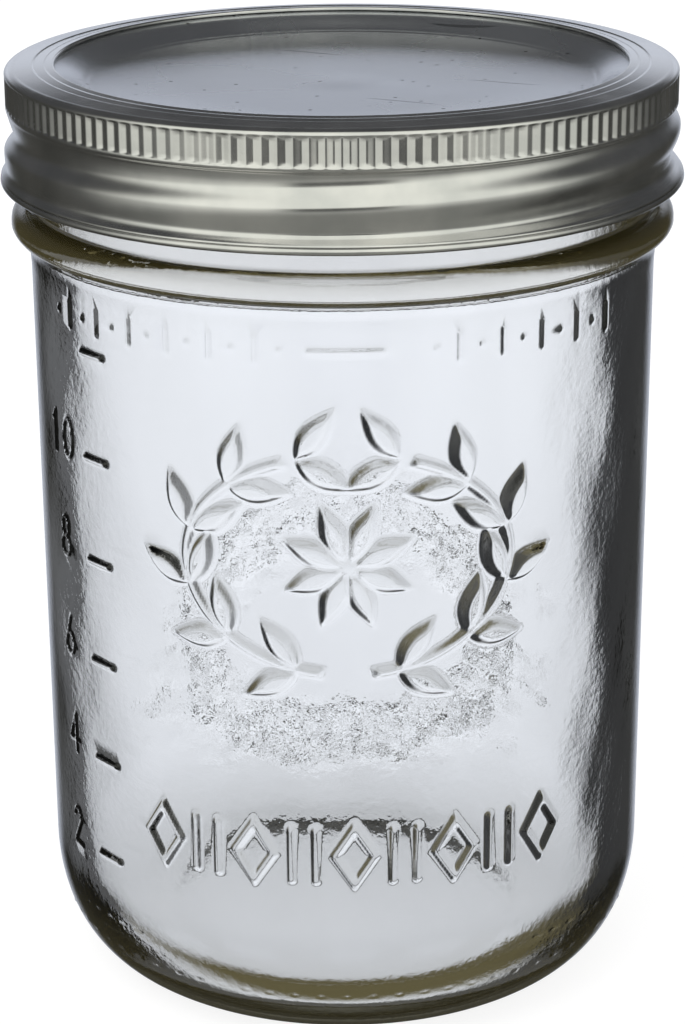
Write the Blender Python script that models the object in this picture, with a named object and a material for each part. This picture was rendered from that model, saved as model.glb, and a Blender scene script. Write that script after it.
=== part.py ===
"""A pint wide-mouth preserving jar with a two-piece screw closure, at its real size.

Four pieces: a pressed glass jar, a flat metal lid, the sealing ring that is bonded under the
lid's rim, and a rolled metal screw band. Metres, +Z up, origin at the centre of the base.
The band turns about Z, and its rolled groove rides under the jar's glass thread.
"""

import math
from collections import namedtuple

import bmesh
import bpy

# Clearance between pieces that rest on each other, and the distance at which points are merged
FIT_GAP = 0.0003
WELD = 0.000001

# Glass jar, from the table up. The bore sets every other radius
JAR_HEIGHT = 0.1226
MOUTH_RADIUS = 0.0381
MOUTH_WALL = 0.0032
BODY_STEP = 0.0001
BODY_TAPER = 0.0004
WALL = 0.0036
HEEL_RUN = 0.0100
HEEL_RISE = 0.0190
HEEL_POWER = 2.2
HEEL_STEPS = 8
BEARING_WIDTH = 0.0035
PUSH_UP = 0.0020
PUSH_UP_BEVEL = 0.0010
BASE_THICKNESS = 0.0055
INNER_HEEL_RUN = 0.0120
INNER_HEEL_RISE = 0.0140
INNER_HEEL_STEPS = 6
JAR_COLUMNS = 60

# Finish: what the closure fits. Drops are measured down from the rim
MOUTH_DEPTH = 0.0110
RIM_ROUNDING = 0.0012
MOUTH_ROUNDING = 0.0008
ROUNDING_STEPS = 3
BEAD_DROP = 0.0182
BEAD_PROUD = 0.0025
BEAD_HALF_HEIGHT = 0.0024
BEAD_STEPS = 6

# Glass thread: one right-handed ridge
THREAD_LEAD = 0.00635
THREAD_DEPTH = 0.0017
THREAD_HALF_HEIGHT = 0.0016
THREAD_START_DROP = 0.0023
THREAD_START = math.radians(-60)
THREAD_TURN = math.radians(450)
THREAD_FADE = math.radians(30)
THREAD_ROWS = 13

# Raised marks on the wall: short bars at the left, and one fill line at the front
MARK_ANGLE = math.radians(-140)
MARK_WIDTH = 0.0057
MARK_THICKNESS = 0.0012
MARK_PROUD = 0.0005
MARK_COUNT = 6
MARK_ABOVE_HEEL = 0.0033
FILL_LINE_ANGLE = math.radians(-90)
FILL_LINE_WIDTH = 0.0100
FILL_LINE_DROP = 0.0258
FILL_LINE_GAP = 0.0045

# Sealing ring and lid
SEAL_THICKNESS = 0.00085
SEAL_INNER_OVERHANG = 0.0004
LID_SHEET = 0.0003
LID_EDGE_GAP = 0.0009
LID_RIM_WIDTH = 0.0043
LID_SLOPE_RUN = 0.0048
LID_RECESS = 0.0021
LID_CROWN = 0.0004
LID_SLOPE_STEPS = 4
LID_CROWN_STEPS = 3
LID_COLUMNS = 60

# Screw band. Its knurl and its wall are rolled clear of the glass thread
BAND_SHEET = 0.00035
BAND_HEIGHT = 0.0154
FLANGE_OVERHANG = 0.00065
KNURL_GAP = 0.0004
WALL_GAP = 0.00085
CROWN_ROUNDING = 0.0015
CROWN_STEPS = 4
INNER_CROWN_STEPS = 3
FLUTES = 144
FLUTE_DEPTH = 0.00025
FLUTE_RUNOUT = 0.0003
FLUTE_BOTTOM_DROP = 0.0051
BAND_WALL_ROWS = 12
WAIST_DEPTH = 0.0005
WAIST_FADE = 0.0033
FLARE_WIDTH = 0.0008
FLARE_RISE = 0.0017
FLARE_STEPS = 3
LIP_HEIGHT = 0.0009
LIP_ROUNDING = 0.0002

# Rolled groove of the band: an inward ridge that hooks under the glass thread
GROOVE_DEPTH = 0.0019
GROOVE_HALF_HEIGHT = 0.0019
GROOVE_START = math.radians(30)
GROOVE_TURN = math.radians(450)
GROOVE_FADE = math.radians(60)
FLANK_SHARE = 0.55

# Four columns of the knurl stand on each column of the rest of the band, two to a flute
BAND_COLUMNS = FLUTES // 2
KNURL_CUTS = 2 * FLUTES // BAND_COLUMNS - 1

# Radii of the jar, and then of the band and the lid that fit it
FINISH_RADIUS = MOUTH_RADIUS + MOUTH_WALL
BODY_RADIUS = FINISH_RADIUS + BODY_STEP
THREAD_RADIUS = FINISH_RADIUS + THREAD_DEPTH
FLANGE_INNER_RADIUS = MOUTH_RADIUS - FLANGE_OVERHANG
KNURL_INNER_RADIUS = THREAD_RADIUS + KNURL_GAP
KNURL_RADIUS = KNURL_INNER_RADIUS + BAND_SHEET + FLUTE_DEPTH
BAND_WALL_RADIUS = THREAD_RADIUS + WALL_GAP + BAND_SHEET
FLARE_RADIUS = BAND_WALL_RADIUS + FLARE_WIDTH
LID_RADIUS = KNURL_INNER_RADIUS - LID_EDGE_GAP

# The closure stacks up from the rim, one clearance between each two pieces
SEAL_BOTTOM = JAR_HEIGHT + FIT_GAP
LID_BOTTOM = SEAL_BOTTOM + SEAL_THICKNESS + FIT_GAP
LID_TOP = LID_BOTTOM + LID_SHEET
BAND_TOP = LID_TOP + FIT_GAP + BAND_SHEET
BAND_BOTTOM = BAND_TOP - BAND_HEIGHT
FLARE_BOTTOM = BAND_BOTTOM + LIP_HEIGHT
WAIST = FLARE_BOTTOM + FLARE_RISE

Helix = namedtuple("Helix", "zero_height lead half_height start turn fade")

THREAD_ZERO_HEIGHT = JAR_HEIGHT - THREAD_START_DROP - THREAD_LEAD * THREAD_START / math.tau
GLASS_THREAD = Helix(
    THREAD_ZERO_HEIGHT, THREAD_LEAD, THREAD_HALF_HEIGHT, THREAD_START, THREAD_TURN, THREAD_FADE
)
GROOVE_OFFSET = FLANK_SHARE * (THREAD_HALF_HEIGHT + GROOVE_HALF_HEIGHT) + FIT_GAP
BAND_GROOVE = Helix(
    THREAD_ZERO_HEIGHT - GROOVE_OFFSET,
    THREAD_LEAD,
    GROOVE_HALF_HEIGHT,
    GROOVE_START,
    GROOVE_TURN,
    GROOVE_FADE,
)


def clear_scene():
    for old in list(bpy.data.objects):
        bpy.data.objects.remove(old, do_unlink=True)


def spread(first, last, count):
    """count values from first to last, both included."""
    return [first + (last - first) * i / (count - 1) for i in range(count)]


def spread_rows(low, high, radius, rows):
    """Evenly spaced points of a straight wall between two heights, neither included."""
    return [(radius, height) for height in spread(low, high, rows + 2)[1:-1]]


def smoothstep(share):
    share = min(max(share, 0.0), 1.0)
    return share * share * (3 - 2 * share)


def quarter(center, run, rise, steps, power=2.0):
    """Points of a quarter of a superellipse, from beside the centre to above or below it."""
    points = []
    for turn in spread(0.0, math.pi / 2, steps + 1):
        across = max(math.cos(turn), 0.0) ** (2 / power)
        along = math.sin(turn) ** (2 / power)
        points.append((center[0] + run * across, center[1] + rise * along))
    return points


def helix_height(helix, angle):
    return helix.zero_height + helix.lead * angle / math.tau


def helix_relief(helix, angle, height):
    """How much of the ridge's full depth stands at this place, from 0 to 1."""
    relief = 0.0
    end = helix.start - helix.turn
    turned = angle + math.tau * math.ceil((helix.start - angle) / math.tau)
    while turned >= end:
        if turned <= helix.start:
            off = (height - helix_height(helix, turned)) / helix.half_height
            if abs(off) < 1:
                fade = smoothstep((helix.start - turned) / helix.fade)
                fade *= smoothstep((turned - end) / helix.fade)
                relief = max(relief, fade * (1 + math.cos(math.pi * off)) / 2)
        turned -= math.tau
    return relief


def turned_mesh(profile, columns, closed):
    """A bmesh of the (radius, height) profile spun about Z. A closed profile is a ring's section."""
    bm = bmesh.new()
    verts = [bm.verts.new((radius, 0, height)) for radius, height in profile]
    following = verts[1:] + verts[:1] if closed else verts[1:]
    edges = [bm.edges.new(pair) for pair in zip(verts, following)]
    bmesh.ops.spin(
        bm,
        geom=verts + edges,
        cent=(0, 0, 0),
        axis=(0, 0, 1),
        angle=math.tau,
        steps=columns,
        use_merge=True,
    )
    bmesh.ops.remove_doubles(bm, verts=bm.verts, dist=WELD)
    bmesh.ops.recalc_face_normals(bm, faces=bm.faces)
    return bm


def place(vert):
    """A point's distance from the axis, and its angle about it."""
    return math.hypot(vert.co.x, vert.co.y), math.atan2(vert.co.y, vert.co.x)


def set_radius(vert, radius):
    angle = place(vert)[1]
    vert.co.x = radius * math.cos(angle)
    vert.co.y = radius * math.sin(angle)


def principled(name, color, roughness, metallic=0.0, transmission=0.0):
    material = bpy.data.materials.new(name)
    material.use_nodes = True
    material.diffuse_color = (*color, 1.0)
    shader = material.node_tree.nodes["Principled BSDF"]
    shader.inputs["Base Color"].default_value = (*color, 1.0)
    shader.inputs["Roughness"].default_value = roughness
    shader.inputs["Metallic"].default_value = metallic
    shader.inputs["Transmission Weight"].default_value = transmission
    return material


def make_object(name, bm, material, sharp=math.radians(35)):
    mesh = bpy.data.meshes.new(name)
    bm.to_mesh(mesh)
    bm.free()
    mesh.materials.append(material)
    mesh.shade_smooth()
    mesh.set_sharp_from_angle(angle=sharp)
    made = bpy.data.objects.new(name, mesh)
    bpy.context.scene.collection.objects.link(made)
    return made


def jar_outside():
    """From the centre under the base, out round the heel and up to the rim's top."""
    heel_radius = BODY_RADIUS - BODY_TAPER
    ring = heel_radius - HEEL_RUN
    inner_ring = ring - BEARING_WIDTH
    points = [
        (0, PUSH_UP),
        (inner_ring - PUSH_UP_BEVEL, PUSH_UP_BEVEL),
        (inner_ring, 0),
    ]
    heel = quarter((ring, HEEL_RISE), HEEL_RUN, -HEEL_RISE, HEEL_STEPS, HEEL_POWER)
    points += heel[::-1]
    bead = JAR_HEIGHT - BEAD_DROP
    for turn in spread(-math.pi / 2, math.pi / 2, BEAD_STEPS + 1):
        root = BODY_RADIUS if turn < 0 else FINISH_RADIUS
        points.append((root + BEAD_PROUD * math.cos(turn), bead + BEAD_HALF_HEIGHT * math.sin(turn)))
    rim_corner = (FINISH_RADIUS - RIM_ROUNDING, JAR_HEIGHT - RIM_ROUNDING)
    points += spread_rows(bead + BEAD_HALF_HEIGHT, rim_corner[1], FINISH_RADIUS, THREAD_ROWS)
    points += quarter(rim_corner, RIM_ROUNDING, RIM_ROUNDING, ROUNDING_STEPS)
    return points


def jar_inside():
    """From the rim's top, down the mouth and wall to the centre of the floor."""
    corner = (MOUTH_RADIUS + MOUTH_ROUNDING, JAR_HEIGHT - MOUTH_ROUNDING)
    points = quarter(corner, -MOUTH_ROUNDING, MOUTH_ROUNDING, ROUNDING_STEPS)[::-1]
    points.append((MOUTH_RADIUS, JAR_HEIGHT - MOUTH_DEPTH))
    points.append((BODY_RADIUS - WALL, JAR_HEIGHT - BEAD_DROP - BEAD_HALF_HEIGHT))
    inner = BODY_RADIUS - BODY_TAPER - WALL
    corner = (inner - INNER_HEEL_RUN, BASE_THICKNESS + INNER_HEEL_RISE)
    points += quarter(corner, INNER_HEEL_RUN, -INNER_HEEL_RISE, INNER_HEEL_STEPS)
    points.append((0, BASE_THICKNESS + PUSH_UP))
    return points


def mark_bars():
    """The raised bars, as a helper that is joined to the jar."""
    wall_foot = HEEL_RISE + MARK_ABOVE_HEEL
    fill_line = JAR_HEIGHT - FILL_LINE_DROP
    bars = [
        (MARK_ANGLE, height, MARK_WIDTH)
        for height in spread(wall_foot, fill_line - FILL_LINE_GAP, MARK_COUNT)
    ]
    bars.append((FILL_LINE_ANGLE, fill_line, FILL_LINE_WIDTH))
    wall_top = JAR_HEIGHT - BEAD_DROP - BEAD_HALF_HEIGHT
    bm = bmesh.new()
    for angle, height, width in bars:
        share = (height - HEEL_RISE) / (wall_top - HEEL_RISE)
        wall = BODY_RADIUS - BODY_TAPER * (1 - share)
        made = bmesh.ops.create_cube(bm, size=1.0)["verts"]
        depth = WALL / 2 + MARK_PROUD
        for vert in made:
            out = wall - WALL / 2 + depth * (vert.co.x + 1 / 2)
            side = width * vert.co.y
            vert.co = (
                out * math.cos(angle) - side * math.sin(angle),
                out * math.sin(angle) + side * math.cos(angle),
                height + MARK_THICKNESS * vert.co.z,
            )
    helper = make_object("mark_bars", bm, bpy.data.materials["clear_glass"])
    helper.hide_render = True
    helper.display_type = "WIRE"
    return helper


def make_jar():
    glass = principled("clear_glass", (0.86, 0.90, 0.92), roughness=0.02, transmission=1.0)
    bm = turned_mesh(jar_outside() + jar_inside(), JAR_COLUMNS, closed=False)
    outside = FINISH_RADIUS * math.cos(math.pi / JAR_COLUMNS)
    for vert in bm.verts:
        radius, angle = place(vert)
        above_bead = vert.co.z > JAR_HEIGHT - BEAD_DROP + BEAD_HALF_HEIGHT + WELD
        if above_bead and radius > outside:
            set_radius(vert, radius + THREAD_DEPTH * helix_relief(GLASS_THREAD, angle, vert.co.z))
    jar = make_object("glass_jar", bm, glass)
    joined = jar.modifiers.new("marks", "BOOLEAN")
    joined.operation = "UNION"
    joined.object = mark_bars()
    return jar


def lid_top_line():
    """The lid's upper face from its centre to its edge."""
    rim_inner = LID_RADIUS - LID_RIM_WIDTH
    panel_radius = rim_inner - LID_SLOPE_RUN
    points = []
    for radius in spread(0.0, panel_radius, LID_CROWN_STEPS + 1)[:-1]:
        crown = LID_CROWN * (1 - (radius / panel_radius) ** 2)
        points.append((radius, LID_TOP - LID_RECESS + crown))
    for share in spread(0.0, 1.0, LID_SLOPE_STEPS + 1):
        points.append(
            (panel_radius + LID_SLOPE_RUN * share, LID_TOP - LID_RECESS * (1 - smoothstep(share)))
        )
    points.append((LID_RADIUS, LID_TOP))
    return points


def make_lid():
    tin = principled("lid_tinplate", (0.50, 0.52, 0.56), roughness=0.38, metallic=1.0)
    top = lid_top_line()
    under = [(radius, height - LID_SHEET) for radius, height in reversed(top)]
    return make_object("lid_disc", turned_mesh(top + under, LID_COLUMNS, closed=False), tin)


def make_seal():
    compound = principled("sealing_compound", (0.16, 0.15, 0.14), roughness=0.65)
    inner = LID_RADIUS - LID_RIM_WIDTH + SEAL_INNER_OVERHANG
    outer = FINISH_RADIUS
    top = SEAL_BOTTOM + SEAL_THICKNESS
    section = [(outer, top), (outer, SEAL_BOTTOM), (inner, SEAL_BOTTOM), (inner, top)]
    return make_object("sealing_ring", turned_mesh(section, LID_COLUMNS, closed=True), compound)


def band_wall():
    """The wall from under the knurl to the flare, before the groove is rolled into it."""
    knurl_bottom = BAND_TOP - FLUTE_BOTTOM_DROP
    points = []
    for height in spread(knurl_bottom, WAIST, BAND_WALL_ROWS + 1)[1:]:
        drawn_in = smoothstep(1 - (height - WAIST) / WAIST_FADE)
        points.append((BAND_WALL_RADIUS - WAIST_DEPTH * drawn_in, height))
    waist_radius = BAND_WALL_RADIUS - WAIST_DEPTH
    for share in spread(0.0, 1.0, FLARE_STEPS + 1)[1:]:
        radius = waist_radius + (FLARE_RADIUS - waist_radius) * smoothstep(share)
        points.append((radius, WAIST - FLARE_RISE * share))
    return points


def band_outside():
    """From the flange's inner edge, over the crown and down to the lip."""
    crown = (KNURL_RADIUS - CROWN_ROUNDING, BAND_TOP - CROWN_ROUNDING)
    knurl_bottom = BAND_TOP - FLUTE_BOTTOM_DROP
    points = [(FLANGE_INNER_RADIUS, BAND_TOP)]
    points += quarter(crown, CROWN_ROUNDING, CROWN_ROUNDING, CROWN_STEPS)[::-1]
    points += [
        (KNURL_RADIUS, crown[1] - FLUTE_RUNOUT),
        (KNURL_RADIUS, knurl_bottom + FLUTE_RUNOUT),
        (KNURL_RADIUS, knurl_bottom),
    ]
    points += band_wall()
    points += [
        (FLARE_RADIUS, BAND_BOTTOM + LIP_ROUNDING),
        (FLARE_RADIUS - LIP_ROUNDING, BAND_BOTTOM),
    ]
    return points


def band_inside():
    """The outside set in by the sheet, from the lip back up to the flange's inner edge."""
    points = [(FLARE_RADIUS - LIP_ROUNDING - BAND_SHEET, BAND_BOTTOM)]
    points += [(radius - BAND_SHEET, height) for radius, height in reversed(band_wall())]
    points.append((KNURL_INNER_RADIUS, BAND_TOP - FLUTE_BOTTOM_DROP))
    corner = (KNURL_RADIUS - CROWN_ROUNDING, BAND_TOP - CROWN_ROUNDING)
    run = KNURL_INNER_RADIUS - corner[0]
    points += quarter(corner, run, CROWN_ROUNDING - BAND_SHEET, INNER_CROWN_STEPS)
    points.append((FLANGE_INNER_RADIUS, BAND_TOP - BAND_SHEET))
    return points


def roll_groove(bm):
    """Presses both sides of the wall below the knurl in along the helix, all to one depth."""
    between_sides = BAND_WALL_RADIUS - WAIST_DEPTH - BAND_SHEET / 2
    for vert in bm.verts:
        radius, angle = place(vert)
        if vert.co.z > BAND_TOP - FLUTE_BOTTOM_DROP - WELD:
            continue
        sheet = BAND_SHEET if radius < between_sides else 0.0
        already_in = max(BAND_WALL_RADIUS - sheet - radius, 0.0)
        relief = helix_relief(BAND_GROOVE, angle, vert.co.z)
        set_radius(vert, radius - (GROOVE_DEPTH - already_in) * relief)


def press_flutes(bm):
    """Splits the knurl's two middle rows into finer columns and presses every second one in."""
    rows = (
        BAND_TOP - CROWN_ROUNDING - FLUTE_RUNOUT,
        BAND_TOP - FLUTE_BOTTOM_DROP + FLUTE_RUNOUT,
    )
    outside = (KNURL_RADIUS + KNURL_INNER_RADIUS) / 2

    def in_rows(vert):
        near = min(abs(vert.co.z - height) for height in rows)
        return near < WELD and place(vert)[0] > outside

    edges = [
        edge
        for edge in bm.edges
        if all(in_rows(vert) for vert in edge.verts)
        and abs(edge.verts[0].co.z - edge.verts[1].co.z) < WELD
    ]
    bmesh.ops.subdivide_edges(bm, edges=edges, cuts=KNURL_CUTS, use_single_edge=True)
    for vert in bm.verts:
        if in_rows(vert):
            column = round(place(vert)[1] / (math.pi / FLUTES))
            set_radius(vert, KNURL_RADIUS - FLUTE_DEPTH * (column % 2))


def make_band():
    steel = principled("band_tinplate", (0.72, 0.72, 0.70), roughness=0.30, metallic=1.0)
    bm = turned_mesh(band_outside() + band_inside(), BAND_COLUMNS, closed=True)
    roll_groove(bm)
    press_flutes(bm)
    return make_object("screw_band", bm, steel)


def main():
    clear_scene()
    make_jar()
    make_lid()
    make_seal()
    make_band()


main()
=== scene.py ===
# %% [markdown]
# A pint preserving jar
#
# The object is a pressed glass jar with a wide threaded mouth, closed by a flat metal lid and
# a knurled screw band. Glass shows only what stands round it, so half of this lesson is about
# the relief and the ripples on the glass, and the other half about what the glass and the
# metal can see. The solid model of the four pieces is loaded first, and every piece here is
# made in its place and at its size, in metres, with the front of the jar towards -Y.

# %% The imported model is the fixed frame
import math

import bmesh
import bpy
import numpy as np
from mathutils import Matrix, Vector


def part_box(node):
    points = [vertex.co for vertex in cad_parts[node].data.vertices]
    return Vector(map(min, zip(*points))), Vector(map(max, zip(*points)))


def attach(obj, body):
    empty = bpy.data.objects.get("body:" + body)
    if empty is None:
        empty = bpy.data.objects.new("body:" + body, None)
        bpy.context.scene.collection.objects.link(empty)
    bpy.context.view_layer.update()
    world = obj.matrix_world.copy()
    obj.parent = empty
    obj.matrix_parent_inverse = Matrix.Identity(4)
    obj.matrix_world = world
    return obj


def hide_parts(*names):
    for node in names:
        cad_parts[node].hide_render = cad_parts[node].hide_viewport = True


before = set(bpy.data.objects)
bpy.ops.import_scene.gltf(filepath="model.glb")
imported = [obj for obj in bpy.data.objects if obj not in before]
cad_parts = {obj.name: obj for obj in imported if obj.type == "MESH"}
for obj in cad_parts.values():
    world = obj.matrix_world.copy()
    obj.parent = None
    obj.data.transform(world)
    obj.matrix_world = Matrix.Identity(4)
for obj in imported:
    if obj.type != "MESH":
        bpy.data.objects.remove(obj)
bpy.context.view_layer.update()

jar_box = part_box("glass_jar")
band_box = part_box("screw_band")
lid_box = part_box("lid_disc")
seal_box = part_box("sealing_ring")

MM = 0.001
JAR_TOP = jar_box[1].z
BAND_TOP = band_box[1].z
BAND_BOTTOM = band_box[0].z
print("the jar with its closure is", round(BAND_TOP / MM, 1), "mm tall")
print("the band goes from", round(BAND_BOTTOM / MM, 1), "mm up to the top")

# %% [markdown]
# The camera comes first, because every later choice is judged through it. The photograph was
# taken with a long lens from close by, looking down on the lid. The distance, the height and
# the tilt were fitted to the outlines of the band, the bead and the heel. The jar leans a third
# of a degree to the left in the picture, so the camera is rolled by as much.

# %% Camera
CAMERA_DISTANCE = 384.7 * MM
CAMERA_HEIGHT = 197.45 * MM
LOOKING_DOWN = math.radians(19.42)
ROLL = math.radians(-0.35)
LENS_LENGTH = 104.06
SIDEWAYS_SHIFT = -0.00185

lens = bpy.data.cameras.new("camera")
lens.lens = LENS_LENGTH
lens.shift_x = SIDEWAYS_SHIFT
lens.clip_start = 0.01
lens.clip_end = 20.0
camera = bpy.data.objects.new("camera", lens)
bpy.context.scene.collection.objects.link(camera)
camera.matrix_world = (
    Matrix.Translation((0, -CAMERA_DISTANCE, CAMERA_HEIGHT))
    @ Matrix.Rotation(math.pi / 2 - LOOKING_DOWN, 4, "X")
    @ Matrix.Rotation(ROLL, 4, "Z")
)
bpy.context.scene.camera = camera
print("the camera sees", round(math.degrees(lens.angle), 1), "degrees across")

# %% [markdown]
# Shader nodes can be wired by hand, but a formula reads better than a list of links. This
# class holds one output of a node. Python's signs on it add Math nodes, and its node method
# adds any other kind: first the node's settings, then what goes into its sockets.


# %% A class for shader maths
class Signal:
    """One output of a shader node, which Python's signs work on."""

    def __init__(self, tree, output=None):
        self.tree = tree
        self.output = output

    def node(self, kind, inputs=None, output=0, **settings):
        made = self.tree.nodes.new(kind)
        for name, value in settings.items():
            setattr(made, name, value)
        for name, value in (inputs or {}).items():
            if isinstance(value, Signal):
                self.tree.links.new(value.output, made.inputs[name])
            else:
                made.inputs[name].default_value = value
        return Signal(self.tree, made.outputs[output] if made.outputs else None)

    def math(self, operation, first, second=0.0):
        return self.node("ShaderNodeMath", {0: first, 1: second}, operation=operation)

    def __add__(self, other):
        return self.math("ADD", self, other)

    def __sub__(self, other):
        return self.math("SUBTRACT", self, other)

    def __rsub__(self, other):
        return self.math("SUBTRACT", other, self)

    def __mul__(self, other):
        return self.math("MULTIPLY", self, other)

    def __truediv__(self, other):
        return self.math("DIVIDE", self, other)

    def __gt__(self, other):
        return self.math("GREATER_THAN", self, other)

    def __abs__(self):
        return self.math("ABSOLUTE", self)

    __radd__ = __add__
    __rmul__ = __mul__

    def step(self, low, high):
        """0 where the signal is under low, 1 over high, and a soft step between them."""
        inputs = {"Value": self, "From Min": low, "From Max": high}
        return self.node("ShaderNodeMapRange", inputs, interpolation_type="SMOOTHSTEP")

    def mix(self, under, over):
        """The color under where the signal is 0, and over where it is 1."""
        inputs = {0: self, 6: under, 7: over}
        return self.node("ShaderNodeMix", inputs, output=2, data_type="RGBA")


def rgb(red, green, blue):
    return (red, green, blue, 1.0)


def axes(vector):
    """The X, Y and Z of a vector, each as a signal."""
    parts = vector.node("ShaderNodeSeparateXYZ", {"Vector": vector})
    return {name: Signal(parts.tree, parts.output.node.outputs[name]) for name in "XYZ"}


def noise(place, scale, detail):
    """Soft random values round 0.5 that change with the place."""
    return place.node("ShaderNodeTexNoise", {"Vector": place, "Scale": scale, "Detail": detail})


# %% [markdown]
# A glass photographer lights the background and not the glass: a white panel stands behind
# the jar, and black ones beside it draw dark edges down its sides. Here the world does that
# for the rays that pass through the glass. Panels stand every 45 degrees, so the jar looks
# like glass from any side. A ray that was reflected inside the glass on its way is dimmed,
# because the thick edges of a real jar send it round the room until little is left of it.
# What the metal mirrors is another picture: a wide soft box in front and overhead, the dark
# stand of the camera low in front of it, and a bluish grey backdrop behind the jar. The
# camera itself sees plain white. All of this is painted in degrees of bearing, measured from
# straight behind the jar to the right, and of elevation above the horizon.

# %% World: directions
world = bpy.data.worlds.new("studio")
bpy.context.scene.world = world
world.use_nodes = True
world.node_tree.nodes.clear()
air = Signal(world.node_tree)
direction = air.node("ShaderNodeTexCoord", output="Generated")
compass = axes(direction)
DEGREE = math.radians(1)
elevation = air.math("ARCSINE", compass["Z"]) / DEGREE
bearing = air.math("ARCTAN2", compass["X"], compass["Y"]) / DEGREE
azimuth = abs(bearing)


def light_path(name):
    return air.node("ShaderNodeLightPath", output=name)


# %% World: seen through the glass
# The rear panel has a dimmer wing on its left, and narrow panels stand round the sides
PANEL_SPACING = 45.0
PANEL_HALF = 12.0
PANEL_BLUR = 2.0
SIDE_PANELS_FROM = 68.0
WING_SHARE = 0.35
WING_START = (-104.0, -94.0)
REAR_START = (-50.0, -34.0)
REAR_END = (11.0, 28.0)
PANEL_TOP = (6.0, 16.0)
off_panel = air.math("PINGPONG", azimuth, PANEL_SPACING / 2)
side_panel = 1.0 - (off_panel - PANEL_HALF).step(-PANEL_BLUR, PANEL_BLUR)
side_panel = side_panel * (azimuth > SIDE_PANELS_FROM)
rear_panel = WING_SHARE * bearing.step(*WING_START) + (1 - WING_SHARE) * bearing.step(*REAR_START)
rear_panel = rear_panel * (1.0 - bearing.step(*REAR_END))
panel = air.math("MAXIMUM", side_panel, rear_panel)
panel = panel * (1.0 - elevation.step(*PANEL_TOP))

# Panels and gaps both change color towards the table, and the table itself is dark olive
PANEL_FOOT = (-38.0, -8.0)
GAP_FOOT = (-44.0, -22.0)
TABLE_EDGE = (-66.0, -48.0)
panel_color = elevation.step(*PANEL_FOOT).mix(rgb(0.71, 0.74, 0.81), rgb(0.99, 1.03, 1.13))
gap_color = elevation.step(*GAP_FOOT).mix(rgb(0.12, 0.105, 0.055), rgb(0.014, 0.015, 0.018))
seen_through = panel.mix(gap_color, panel_color)
under = 1.0 - elevation.step(*TABLE_EDGE)
seen_through = under.mix(seen_through, rgb(0.11, 0.095, 0.045))

# Rays that were reflected inside the glass are dimmed, a little less on the left
BOUNCED_FOOT = (-50.0, -38.0)
BOUNCED_LEFT = (-60.0, -20.0)
DIMMED = 0.95
DIMMED_LEFT = 0.75
bounced = (light_path("Glossy Depth") > 0.5) * elevation.step(*BOUNCED_FOOT)
bounced = bounced * (DIMMED_LEFT + (DIMMED - DIMMED_LEFT) * bearing.step(*BOUNCED_LEFT))
seen_through = bounced.mix(seen_through, rgb(0.035, 0.036, 0.04))

# %% World: mirrored in the metal and on the glass
# Bearings here are measured from straight in front of the jar, to both sides
from_front = 180.0 - azimuth
BOX_SIDES = (54.0, 102.0)
BOX_FOOT = (-36.0, 4.0)
BOX_TOP = (76.0, 98.0)
BOX_FOOT_SHARE = 0.2
OVERHEAD = (77.0, 88.0)
OVERHEAD_SHARE = 0.9
box_rise = BOX_FOOT_SHARE + (1 - BOX_FOOT_SHARE) * elevation.step(*BOX_FOOT)
front_box = (1.0 - from_front.step(*BOX_SIDES)) * box_rise
front_box = front_box * (1.0 - elevation.step(*BOX_TOP))
overhead = elevation.step(*OVERHEAD) * OVERHEAD_SHARE

STAND_SIDES = (12.0, 24.0)
STAND_TOP = (-9.0, 3.0)
STAND_FOOT = (-26.0, -16.0)
STAND_SHARE = 0.95
camera_stand = (1.0 - from_front.step(*STAND_SIDES)) * (1.0 - elevation.step(*STAND_TOP))
camera_stand = camera_stand * elevation.step(*STAND_FOOT) * STAND_SHARE

FILL_SIDES = (88.0, 126.0)
FILL_FOOT = (-40.0, -22.0)
FILL_TOP = (40.0, 60.0)
side_fill = (1.0 - from_front.step(*FILL_SIDES)) * elevation.step(*FILL_FOOT)
side_fill = side_fill * (1.0 - elevation.step(*FILL_TOP))

BACKDROP_SIDES = (148.0, 164.0)
BACKDROP_TOP = (12.0, 16.5)
BACKDROP_FOOT = (-40.0, -28.0)
BACKDROP_GLOW = (3.0, 9.0)
backdrop = from_front.step(*BACKDROP_SIDES) * (1.0 - elevation.step(*BACKDROP_TOP))
backdrop = backdrop * elevation.step(*BACKDROP_FOOT)
backdrop_color = elevation.step(*BACKDROP_GLOW).mix(rgb(0.58, 0.62, 0.71), rgb(0.82, 0.87, 0.99))

ROOM = (-10.0, 22.0)
night = elevation.step(*ROOM).mix(rgb(0.05, 0.05, 0.045), rgb(0.065, 0.067, 0.07))
mirrored = backdrop.mix(night, backdrop_color)
mirrored = side_fill.mix(mirrored, rgb(0.10, 0.102, 0.097))
mirrored = air.math("MAXIMUM", front_box, overhead).mix(mirrored, rgb(1.0, 1.02, 0.94))
mirrored = camera_stand.mix(mirrored, rgb(0.035, 0.035, 0.035))

# %% World: one picture for each kind of ray
WHITE = rgb(1.0, 1.0, 1.0)
PLAIN_LIGHT = rgb(0.8, 0.8, 0.8)
sky = light_path("Is Glossy Ray").mix(PLAIN_LIGHT, mirrored)
sky = light_path("Is Transmission Ray").mix(sky, seen_through)
sky = light_path("Is Camera Ray").mix(sky, WHITE)
background = air.node("ShaderNodeBackground", {"Color": sky, "Strength": 1.0})
air.node("ShaderNodeOutputWorld", {"Surface": background})
print("the world is painted with", len(world.node_tree.nodes), "nodes")

# %% [markdown]
# The floor is a white sheet under the jar. It is white to the camera, with a little of the
# lamp's light in it so that it keeps a soft shadow. Every other ray passes through it and sees
# the panels, which are painted below the horizon too.

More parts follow.
